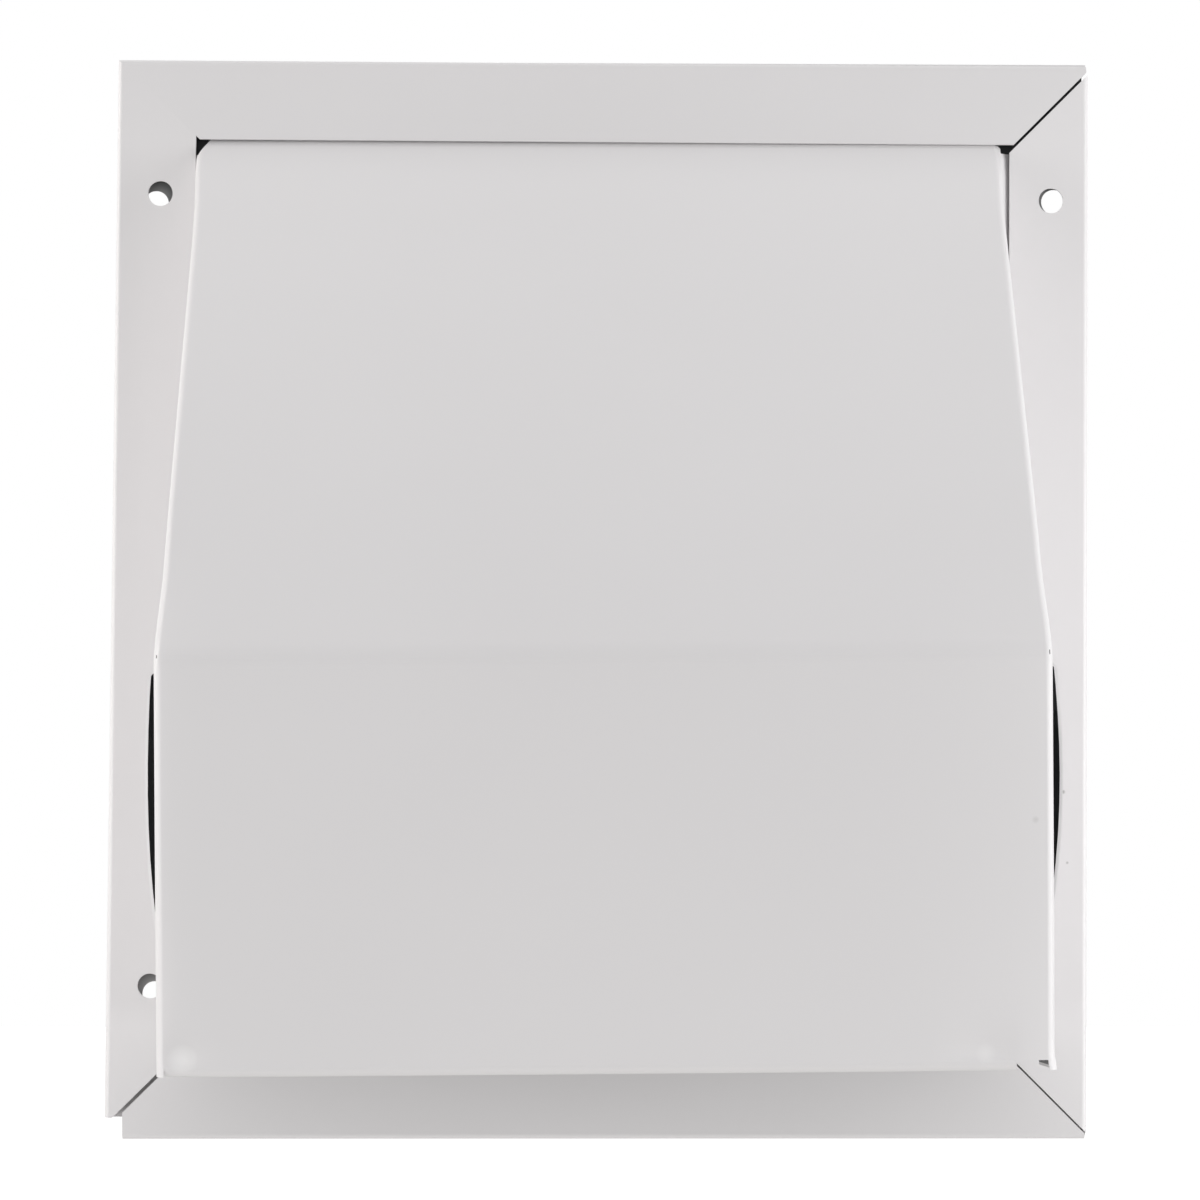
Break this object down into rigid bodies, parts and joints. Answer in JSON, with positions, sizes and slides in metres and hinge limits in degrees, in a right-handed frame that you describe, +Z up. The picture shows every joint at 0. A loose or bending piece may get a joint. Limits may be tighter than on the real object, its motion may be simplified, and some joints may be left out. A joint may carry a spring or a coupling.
{
  "type": "wall exhaust hood",
  "caption": "White sheet-metal exhaust hood for an outside wall: back plate with turned-over edges, sloped hood open below, round duct collar behind and a hanging back-draught flap inside.",
  "frame": {"origin": "on the duct collar's axis, in the plane of the wall (the back plate's rear face)", "axes": "+Z up, +Y into the wall along the duct, +X to the right seen from in front of the hood"},
  "size_m": [0.2133, 0.158, 0.234],
  "materials": {
    "white_sheet": "white satin paint",
    "galvanised_sheet": "galvanised",
    "zinc_wire": "zinc plated",
    "foam": "closed-cell foam"
  },
  "bodies": {
    "housing": {"back_plate": "white_sheet", "hood": "white_sheet", "duct_collar": "galvanised_sheet", "damper_seal": "foam", "hinge_rod": "zinc_wire"},
    "flap": {"damper_flap": "galvanised_sheet"}
  },
  "joints": [
    {"name": "flap_swing", "type": "hinge", "parent": "housing", "child": "flap", "pos_m": [0, -0.00302, 0.084], "axis": [-1, 0, 0], "range_deg": [0, 34]}
  ]
}
